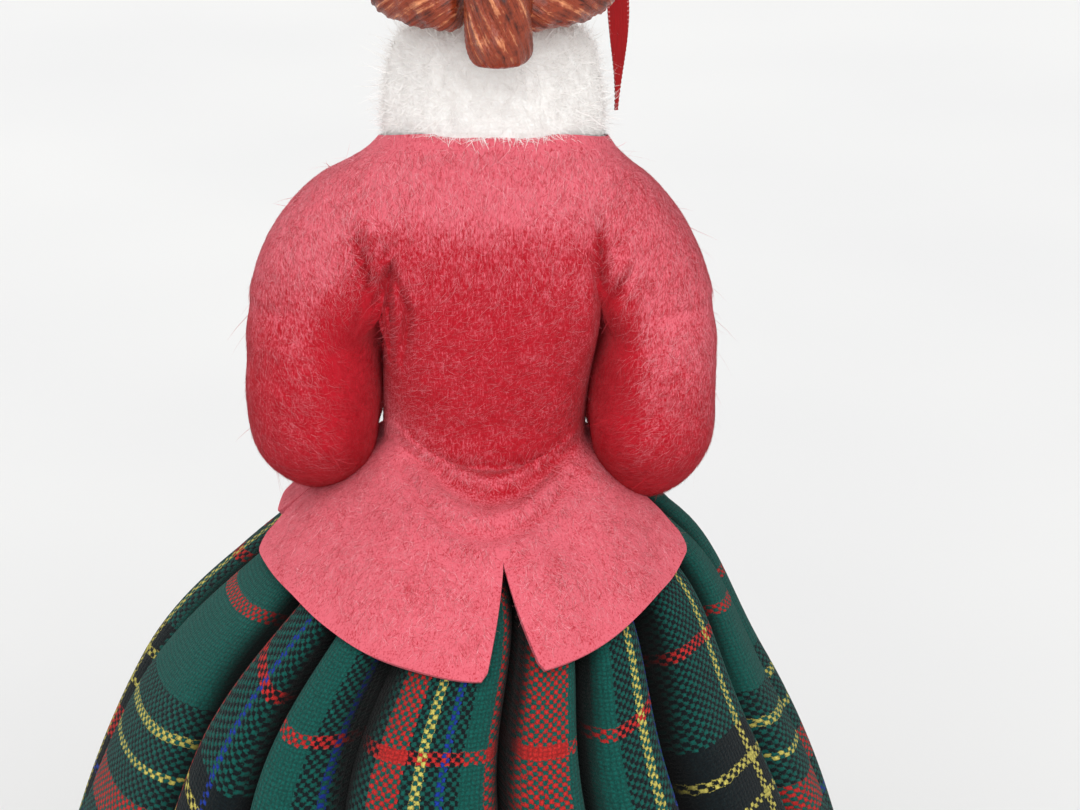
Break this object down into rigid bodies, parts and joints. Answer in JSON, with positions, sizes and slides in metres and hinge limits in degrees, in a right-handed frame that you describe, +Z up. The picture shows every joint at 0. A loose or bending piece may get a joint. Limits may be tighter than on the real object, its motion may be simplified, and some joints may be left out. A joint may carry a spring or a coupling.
{
  "type": "caroler doll",
  "caption": "Standing caroler doll with a turning head, bendable arms holding a songbook, red felt jacket, fur collar and gathered tartan skirt.",
  "frame": {"origin": "centre of the underside of the base, on the surface that the doll stands on", "axes": "+Z up; -Y is the way the doll faces; +X is the doll's own left"},
  "size_m": [0.1925, 0.1947, 0.3288],
  "materials": {
    "steel": "drawn wire",
    "wood": "turned and waxed",
    "green_felt": "felt",
    "red_felt": "napped felt",
    "tartan": "twill tartan",
    "cotton": "stuffed cotton",
    "paper": "wound paper",
    "fur": "long pile",
    "white_felt": "felt",
    "clay": "satin",
    "hair": "lacquered fibre",
    "satin": "satin",
    "brass": "polished",
    "card": "linen card"
  },
  "bodies": {
    "body": {"base_pad": "green_felt", "base_disc": "wood", "left_leg_wire": "steel", "right_leg_wire": "steel", "spine_wire": "steel", "shoulder_wire": "steel", "torso_core": "paper", "stuffed_petticoat": "cotton", "skirt_waistband": "tartan", "skirt": "tartan", "jacket": "red_felt", "jacket_button_top": "brass", "jacket_button_middle": "brass", "jacket_button_bottom": "brass", "fur_collar": "fur"},
    "head": {"head": "clay", "hair_cap": "hair", "left_nape_roll": "hair", "right_nape_roll": "hair", "back_curl": "hair", "bow_knot": "satin", "bow_front_loop": "satin", "bow_back_loop": "satin", "ribbon_long_tail": "satin", "ribbon_short_tail": "satin"},
    "left_arm": {"left_arm_wire": "steel", "left_arm_padding": "cotton", "left_sleeve": "red_felt", "left_mitten": "white_felt", "songbook_cover": "card", "songbook_pages": "paper"},
    "right_arm": {"right_arm_wire": "steel", "right_arm_padding": "cotton", "right_sleeve": "red_felt", "right_mitten": "white_felt"}
  },
  "joints": [
    {"name": "head_turn", "type": "hinge", "parent": "body", "child": "head", "pos_m": [-0.0026, 0, 0.2605], "axis": [0, 0, 1], "range_deg": [-30, 30]},
    {"name": "left_shoulder", "type": "hinge", "parent": "body", "child": "left_arm", "pos_m": [0.023, 0.0029, 0.2415], "axis": [-1, 0, 0], "range_deg": [0, 30]},
    {"name": "right_shoulder", "type": "hinge", "parent": "body", "child": "right_arm", "pos_m": [-0.023, 0.0029, 0.2415], "axis": [-1, 0, 0], "range_deg": [0, 30]}
  ],
  "couplings": [
    {"joint": "right_shoulder", "follows": "left_shoulder", "ratio": 1}
  ]
}
